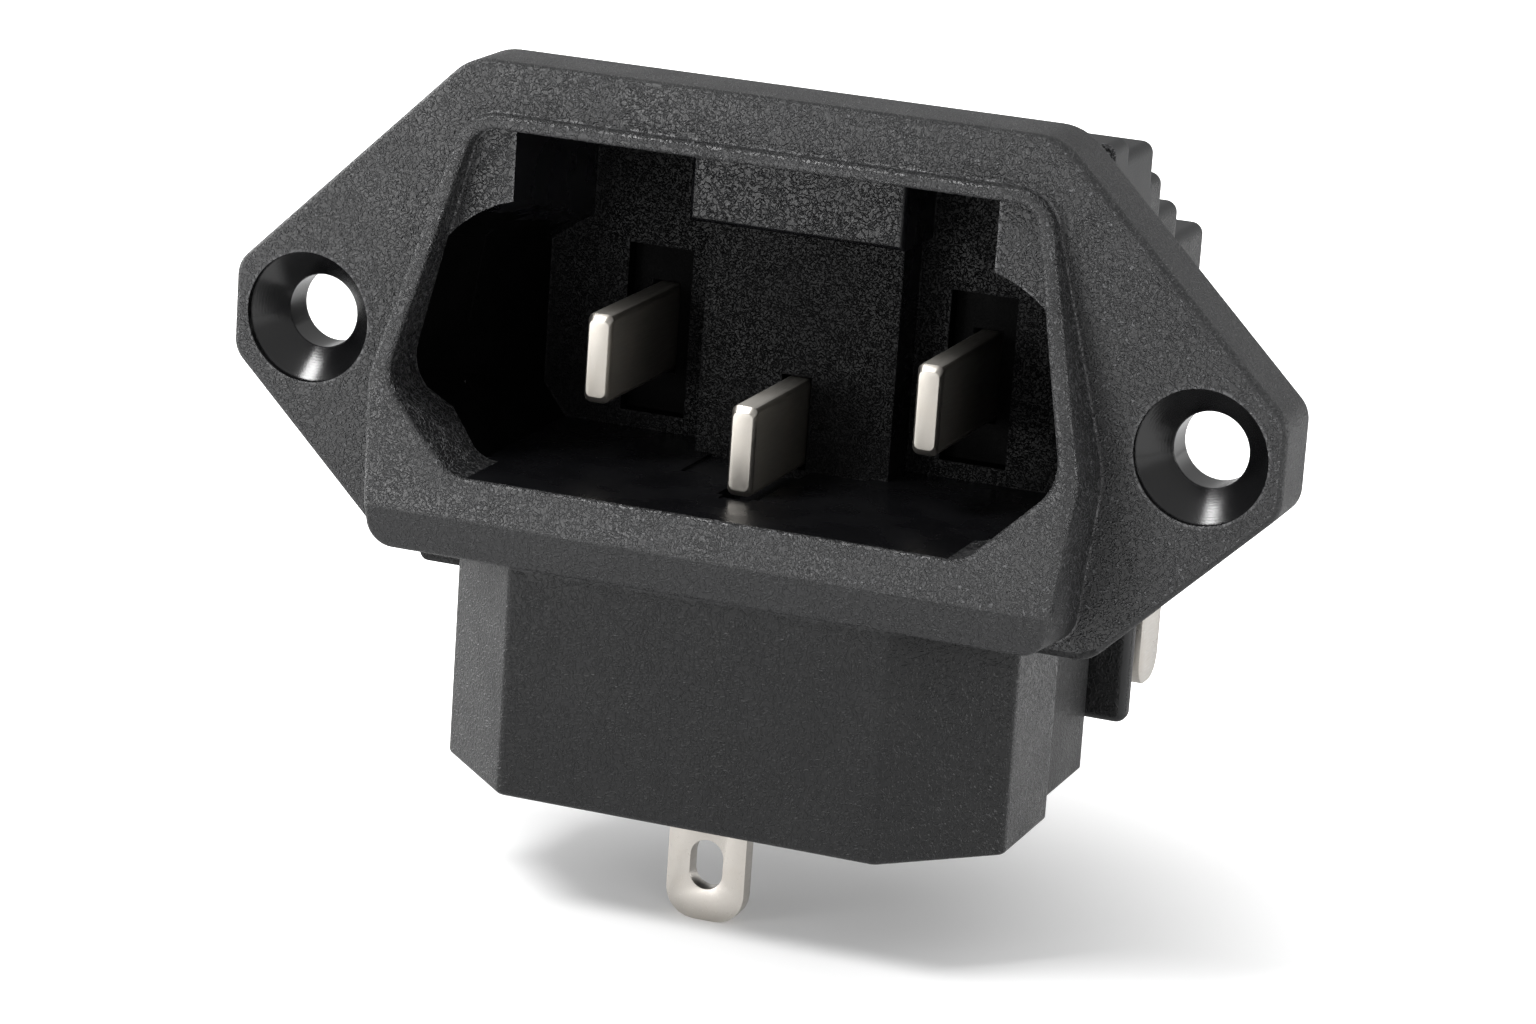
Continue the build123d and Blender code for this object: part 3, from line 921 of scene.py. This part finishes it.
@dataclass
class FrontMoulding(Moulding):
    """The front moulding: flange, raked collar, keyed socket, register step and terminal block."""

    screw_reach: float = 3.1
    cone_facing: float = 0.95
    flange_front: float = -3.2
    key_front: float = 2.1
    socket_back: float = 5.8
    socket_end: float = 7.0
    socket_half: float = 15.2
    lobe_from: float = 11.9
    shell_from: float = 12.5
    shell_facing: float = 0.1
    foot_cut_from: float = 10.5
    relief_half: float = 14.0
    web_foot: float = 4.3
    socket_foot: float = -5.7
    socket_top: float = 9.45
    collar_half: float = 16.2
    strip_top: float = -6.8
    block_top: float = -8.7
    block_half: float = 12.8
    register_back: float = 2.05
    register_foot: float = -10.8
    step_lift: float = -9.3
    step_beyond: float = 0.8
    step_merge: float = 0.001
    panel_from: float = 0.5

    def build(self) -> bpy.types.Object:
        """Copies the solid, and lifts the foot of the register step behind the flange on the right."""
        piece = super().build()
        begin_edit(piece, "VERT")
        pick(piece, "VERT", self.in_right_foot)
        stretch_about(Vector((0, 0, self.step_lift)), 1.0, 1.0, 0.0)
        bpy.ops.mesh.remove_doubles(threshold=self.step_merge * MM)
        make_active(piece)
        return piece

    def in_right_foot(self, place: Vector, normal: Vector) -> bool:
        """Whether a corner belongs to the foot of the register step, right of the block."""
        beside = self.block_half - SLACK < place.x < self.socket_half + self.step_beyond
        within = -SLACK < place.y < self.register_back + SLACK
        return beside and within and self.register_foot - SLACK < place.z < self.step_lift

    def zone(self, place: Vector, normal: Vector) -> Zone:
        """The zone that a face belongs to."""
        aside = abs(place.x)
        from_screw = math.hypot(aside - SCREW_FROM_MIDDLE, place.z)
        if from_screw < self.screw_reach and abs(normal.y) < self.cone_facing:
            return Zone.TURNED
        ahead = normal.y < -ALONG
        # Painted shade: faces that look ahead from the flange's back plane get the near-black PIT copy.
        if ahead and abs(place.y) < TOUCH and aside < self.relief_half:
            return Zone.PIT
        inside = aside < self.socket_half and self.socket_foot < place.z < self.socket_top
        shell = normal.y > LEANING or (aside > self.shell_from and normal.x * place.x > self.shell_facing)
        if inside and not shell and self.flange_front + NEAR < place.y < self.socket_end:
            return self.socket_zone(place, normal, ahead)
        if place.z < self.block_top:
            # The block's sides take the lighter GRAINED copy, with its painted light; its other faces take
            # BLOCK.
            return Zone.GRAINED if abs(normal.x) > ALONG else Zone.BLOCK
        if place.y < self.flange_front - SLACK and aside < self.collar_half:
            return Zone.GRAINED if place.z > self.strip_top else Zone.RIM
        if ahead:
            return Zone.GRAINED
        return Zone.RIM if place.y < SLACK else Zone.SATIN

    def socket_zone(self, place: Vector, normal: Vector, ahead: bool) -> Zone:
        """The zone of a face inside the socket, which may face ahead, to the front."""
        aside = abs(place.x)
        # Painted shade: faces behind the socket's back, the lobes and the seat corners take PIT, the walls
        # SOCKET and the back panels DEEP.
        if place.y > self.socket_back + TOUCH:
            return Zone.PIT
        if aside > self.lobe_from and (not ahead or place.z < self.web_foot):
            return Zone.PIT
        if aside > self.foot_cut_from and normal.z > LEANING and abs(normal.x) > LEANING:
            return Zone.PIT
        if not ahead:
            return Zone.SOCKET
        return Zone.DEEP if place.y > self.key_front + self.panel_from else Zone.GRAINED


@dataclass
class RearMoulding(Moulding):
    """The rear moulding: stepped back, second block and barrier fin."""

    def zone(self, place: Vector, normal: Vector) -> Zone:
        """The zone that a face belongs to."""
        return Zone.BLOCK if max(abs(normal.x), abs(normal.y)) > ALONG else Zone.SATIN


# ---------------------------------------------------------------- metal pieces


@dataclass
class ContactBlade:
    """A contact blade with a bevelled nose and a riveted tail."""

    name: str
    node: str
    seat: float
    tag_thickness: float = 0.8
    thickness: float = 1.15
    width: float = 3.9
    nose_bevel: float = 0.13
    nose_rake: float = 0.28
    nose_length: float = 0.24
    long_round: float = 0.3
    long_steps: int = 5
    side_facing: float = 0.6
    tail_width: float = 2.0
    rivet_spread: float = 0.5
    rivet_edge: float = 0.2
    rivet_steps: int = 3
    edge_round: float = 0.05

    def build(self) -> bpy.types.Object:
        """Models the blade from a block: nose bevelled, tail drawn out and headed."""
        low, high = (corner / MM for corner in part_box(self.node))
        middle = (low + high) / 2
        half = Vector((self.thickness / 2, 0, self.width / 2))
        nose = Vector((middle.x, low.y + self.nose_length, middle.z))
        last = Vector((middle.x, self.seat, middle.z)) + half
        piece = add_block(self.name, nose - half, last)
        begin_edit(piece, "EDGE")
        pick(piece, "EDGE", lambda place, line: abs(line.y) > ALONG)
        bevel(self.long_round, self.long_steps)
        self.draw_nose(piece, nose)
        self.draw_tail(piece, middle, high.y)
        soften_edges(piece, self.edge_round)
        finish_mesh(piece)
        self.mark_sides(piece, nose.y)
        return piece

    def mark_sides(self, piece: bpy.types.Object, start: float) -> None:
        """Marks the sides and the top of a finished blade, from where the nose ends, in millimetres."""
        for _ in BladeFace:
            piece.data.materials.append(None)
        for face in piece.data.polygons:
            kind = BladeFace.NOSE
            behind = face.center.y / MM > start
            if behind and abs(face.normal.x) > self.side_facing:
                kind = BladeFace.SIDE
            elif behind and face.normal.z > LEANING:
                kind = BladeFace.TOP
            face.material_index = kind.value

    def draw_nose(self, piece: bpy.types.Object, nose: Vector) -> None:
        """Draws the nose out of the blade's front, in at every side.

        Args:
            piece: The blade, in edit mode.
            nose: The middle of the blade's front, where the nose begins, in millimetres.
        """
        pick(piece, "FACE", lambda place, normal: normal.y < -ALONG)
        extrude_by(0, -self.nose_length, 0)
        across = 1.0 - 2 * self.nose_bevel / self.thickness
        up = 1.0 - 2 * self.nose_rake / self.width
        stretch_about(nose, across, 1.0, up)

    def draw_tail(self, piece: bpy.types.Object, middle: Vector, end: float) -> None:
        """Draws the tail out of the blade's back and heads it.

        Args:
            piece: The blade, in edit mode.
            middle: The middle of its solid in millimetres.
            end: Where the rivet head ends.
        """
        behind = self.seat + self.tag_thickness
        back = Vector((middle.x, self.seat, middle.z))
        pick(piece, "FACE", lambda place, normal: normal.y > ALONG)
        extrude_by(0, 0, 0)
        stretch_about(back, 1.0, 1.0, self.tail_width / self.width)
        extrude_by(0, self.tag_thickness, 0)
        extrude_by(0, 0, 0)
        wide = (self.thickness + 2 * self.rivet_spread) / self.thickness
        tall = (self.tail_width + 2 * self.rivet_spread) / self.tail_width
        stretch_about(Vector((middle.x, behind, middle.z)), wide, 1.0, tall)
        extrude_by(0, end - behind, 0)
        pick(piece, "EDGE", lambda place, line: near(place.y, end))
        bevel(self.rivet_edge, self.rivet_steps)


@dataclass
class SolderTag:
    """A solder tag: a bent sheet with round corners and a slot."""

    thickness: float = 0.8
    bend: float = 0.9
    corner: float = 1.1
    steps: int = 6
    slot_width: float = 1.5
    slot_length: float = 2.2
    slot_edge: float = 4.4
    edge_round: float = 0.08

    def thicken(self, piece: bpy.types.Object, foot: Vector, across: Vector) -> bpy.types.Object:
        """Gives the bent sheet its thickness, its slot and its soft edges.

        Args:
            piece: The sheet, in edit mode.
            foot: The middle of its lower end in millimetres.
            across: The direction through it at the slot.

        Returns:
            The finished tag.
        """
        deselect_all()
        add_modifier(piece, "SOLIDIFY", thickness=self.thickness * MM, offset=0.0, use_even_offset=True)
        slot_middle = Vector((foot.x, foot.y, foot.z + self.slot_edge + self.slot_length / 2))
        cut_slot(piece, slot_middle, across, self.slot_width, self.slot_length)
        soften_edges(piece, self.edge_round)
        finish_mesh(piece)
        return piece


@dataclass
class EarthTag(SolderTag):
    """The earth tag: down behind the socket, forward under it, and down through the block."""

    name: str = "earth_solder_tag"
    node: str = "earth_tag"
    corner: float = 1.3
    turn: float = -8.0
    slot_edge: float = 1.4

    def build(self) -> bpy.types.Object:
        """Models the tag from a sheet: two bends, round corners, thickness and slot."""
        low, high = (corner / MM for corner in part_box(self.node))
        lane = low.y + self.thickness / 2
        behind = high.y - self.thickness / 2
        run, rise = Vector((high.x - low.x, 0, 0)), Vector((0, 0, self.turn - low.z))
        piece = add_sheet(self.name, Vector((low.x, lane, low.z)), run, rise)
        begin_edit(piece, "EDGE")
        pick(piece, "EDGE", lambda place, line: near(place.z, self.turn))
        extrude_by(0, behind - lane, 0)
        extrude_by(0, 0, high.z - self.turn)
        pick(piece, "EDGE", lambda place, line: near(place.z, self.turn) and abs(line.x) > ALONG)
        bevel(self.bend, self.steps)
        pick(piece, "VERT", lambda place, normal: near(place.z, low.z) or near(place.z, high.z))
        bevel(self.corner, self.steps, "VERTICES")
        return self.thicken(piece, Vector((0, lane, low.z)), Vector((0, 1, 0)))


@dataclass
class PoleTag(SolderTag):
    """The solder tag of one pole: flat on the cover, then turned back and down."""

    side: Side = Side.RIGHT
    base_height: float = 3.6
    base_middle: float = -0.45
    bend_room: float = 1.15
    clear: float = 0.2

    def build(self) -> bpy.types.Object:
        """Models the tag from a sheet: base, bend, leg, round corners, thickness and slot."""
        hand = self.side.value
        node = f"{self.side.name.lower()}_pole_tag"
        low, high = (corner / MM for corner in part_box(node))
        inner, outer = (low.x, high.x) if hand > 0 else (high.x, low.x)
        lane = outer - hand * self.thickness / 2
        front = low.y + self.thickness / 2
        foot = self.base_middle - self.base_height / 2
        turned = self.bend * self.bend_room
        rear = front + turned
        run, rise = Vector((lane - inner, 0, 0)), Vector((0, 0, self.base_height))
        piece = add_sheet(node.replace("tag", "solder_tag"), Vector((inner, front, foot)), run, rise)
        begin_edit(piece, "EDGE")

        def pick_in_lane(wanted: Callable[[Vector], bool]) -> None:
            """Selects the edges of the leg's plane whose middle passes a test."""
            pick(piece, "EDGE", lambda place, line: near(place.x, lane) and wanted(place))

        pick_in_lane(lambda place: True)
        extrude_by(0, turned, 0)
        extrude_by(0, high.y - front - turned, 0)
        pick_in_lane(lambda place: near(place.y, front))
        bevel(self.bend, self.steps)
        pick_in_lane(lambda place: near(place.z, foot) and place.y > rear + self.clear)
        extrude_by(0, 0, low.z - foot)
        pick_in_lane(lambda place: near(place.y, rear) and place.z < foot - self.clear)
        extrude_by(0, front - rear, 0)
        ends = (front, high.y)
        pick(piece, "VERT", lambda place, line: near(place.z, low.z) and any(near(place.y, y) for y in ends))
        bevel(self.corner, self.steps, "VERTICES")
        return self.thicken(piece, Vector((lane, (front + high.y) / 2, low.z)), Vector((1, 0, 0)))


# ---------------------------------------------------------------- studio


@dataclass(frozen=True)
class PhotoCamera:
    """The camera that was fitted to the photograph, in the frame of the solids."""

    turn: float = 20.355
    tilt: float = 15.026
    roll: float = 3.926
    distance: float = 221.039
    focal_pixels: float = 5212.67
    aim_x: float = 0.439
    aim_z: float = -6.113
    sensor: float = 36.0
    nearest: float = 1.0
    farthest: float = 20000.0

    def build(self) -> bpy.types.Object:
        """Adds the camera and makes it the scene's own."""
        turn, tilt, roll = (math.radians(angle) for angle in (self.turn, self.tilt, self.roll))
        back = Vector((math.sin(turn) * math.cos(tilt), -math.cos(turn) * math.cos(tilt), math.sin(tilt)))
        right = Vector((math.cos(turn), math.sin(turn), 0.0))
        up = back.cross(right)
        across = right * math.cos(roll) + up * math.sin(roll)
        upward = up * math.cos(roll) - right * math.sin(roll)
        eye = (Vector((self.aim_x, 0.0, self.aim_z)) + back * self.distance) * MM
        deselect_all()
        bpy.ops.object.camera_add()
        camera = bpy.context.object
        camera.name = "photo_camera"
        camera.matrix_world = Matrix.Translation(eye) @ Matrix((across, upward, back)).transposed().to_4x4()
        camera.data.sensor_width = self.sensor
        camera.data.lens = self.focal_pixels / PHOTO_WIDTH * self.sensor
        camera.data.clip_start = self.nearest * MM
        camera.data.clip_end = self.farthest * MM
        bpy.context.scene.camera = camera
        return camera


@dataclass(frozen=True)
class SoftBox:
    """A large square lamp that looks at the inlet."""

    name: str
    place: tuple[float, float, float]
    size: float
    power: float

    def build(self) -> bpy.types.Object:
        """Adds the lamp."""
        deselect_all()
        bpy.ops.object.light_add(type="AREA", location=tuple(Vector(self.place) * MM))
        lamp = bpy.context.object
        lamp.name = self.name
        lamp.data.shape = "DISK"
        lamp.data.size = self.size * MM
        lamp.data.energy = self.power
        lamp.rotation_mode = "QUATERNION"
        lamp.rotation_quaternion = (-Vector(self.place)).to_track_quat("-Z", "Y")
        return lamp


@dataclass
class Studio:
    """A white floor, a white surround and soft lamps."""

    floor_height: float = -23.5
    floor_size: float = 6000.0
    floor_colour: float = 0.86
    floor_roughness: float = 0.9
    floor_lift: float = 0.06
    shadow_middle: tuple[float, float, float] = (3.0, 1.0, 0.0)
    shadow_reach: float = 3.0
    white_from: float = 42.0
    high_light: float = 0.42
    high_from: float = 0.28
    lamps: tuple[SoftBox, ...] = (
        SoftBox("key_softbox", (-260.0, -210.0, 460.0), 220.0, 2.3),
        SoftBox("front_softbox", (-125.0, -195.0, 14.0), 110.0, 0.16),
        SoftBox("left_softbox", (-460.0, 160.0, 60.0), 300.0, 1.55),
        SoftBox("right_softbox", (430.0, 120.0, 60.0), 320.0, 1.25),
        SoftBox("fill_softbox", (330.0, -430.0, 150.0), 200.0, 0.22),
    )

    def build(self) -> None:
        """Adds the floor, the surround and the lamps."""
        self.lay_floor()
        self.light_surround()
        for lamp in self.lamps:
            lamp.build()

    def lay_floor(self) -> None:
        """Adds the floor, which shows white to the camera and keeps the shadow."""
        deselect_all()
        middle = (0.0, 0.0, self.floor_height * MM)
        bpy.ops.mesh.primitive_plane_add(size=self.floor_size * MM, location=middle)
        floor = bpy.context.object
        floor.name = "floor"
        material, graph, shader = new_material("white_floor")
        shader.inputs["Base Color"].default_value = (self.floor_colour,) * 3 + (1.0,)
        shader.inputs["Roughness"].default_value = self.floor_roughness
        shader.inputs["Specular IOR Level"].default_value = 0.0
        shader.inputs["Emission Color"].default_value = (1.0, 1.0, 1.0, 1.0)
        away = graph.add("ShaderNodeVectorMath", operation="DISTANCE")
        graph.feed(away.inputs[0], graph.place())
        graph.feed(away.inputs[1], tuple(part * MM for part in self.shadow_middle))
        far = graph.ramp(away.outputs["Value"], self.shadow_reach * MM, self.white_from * MM)
        path = graph.add("ShaderNodeLightPath")
        white = graph.maths("MULTIPLY", far, path.outputs["Is Camera Ray"])
        seen = graph.maths("MAXIMUM", path.outputs["Is Camera Ray"], path.outputs["Is Glossy Ray"])
        lift = graph.maths("ADD", graph.maths("MULTIPLY", seen, self.floor_lift), white)
        graph.feed(shader.inputs["Emission Strength"], lift)
        floor.data.materials.append(material)

    def light_surround(self) -> None:
        """Sets the surround: white to the camera, and softer high up where it lights and is mirrored."""
        world = bpy.data.worlds.new("white_surround")
        world.use_nodes = True
        graph = Graph(world.node_tree)
        background = world.node_tree.nodes["Background"]
        background.inputs["Color"].default_value = (1.0, 1.0, 1.0, 1.0)
        direction = graph.parts(graph.add("ShaderNodeTexCoord").outputs["Generated"])
        level = graph.ramp(direction["Z"], low=0.0, high=self.high_from, start=1.0, end=self.high_light)
        seen = graph.add("ShaderNodeLightPath").outputs["Is Camera Ray"]
        graph.feed(background.inputs["Strength"], graph.maths("MAXIMUM", seen, level))
        bpy.context.scene.world = world


def main() -> None:
    """Builds the mouldings, the blades, the tags, the studio and the camera."""
    logging.basicConfig(level=logging.INFO, format="%(name)s: %(message)s")
    effects = Effects.build()
    plastics = {zone: finish.material(effects) for zone, finish in PLASTIC_FINISHES.items()}
    blade_metals = [BLADE_FINISHES[face].material(effects) for face in BladeFace]
    tag_metal = TAG_METAL.material(effects)

    FrontMoulding("front_moulding", "housing").dress(plastics)
    RearMoulding("rear_moulding", "rear_cover").dress(plastics)

    body_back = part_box("rear_cover")[1].y / MM
    housing_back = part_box("housing")[1].y / MM
    for side in Side:
        node = f"{side.name.lower()}_pole_blade"
        blade = ContactBlade(node.replace("blade", "contact"), node, body_back)
        dress(blade.build(), "plated_brass", node, *blade_metals)
        dress(PoleTag(side=side).build(), "plated_brass", f"{side.name.lower()}_pole_tag", tag_metal)
    earth = ContactBlade("earth_contact", "earth_blade", housing_back)
    dress(earth.build(), "plated_brass", "earth_blade", *blade_metals)
    dress(EarthTag().build(), "plated_brass", "earth_tag", tag_metal)

    Studio().build()
    PhotoCamera().build()
    bpy.context.scene.view_settings.view_transform = "Standard"


if __name__ == "__main__":
    main()
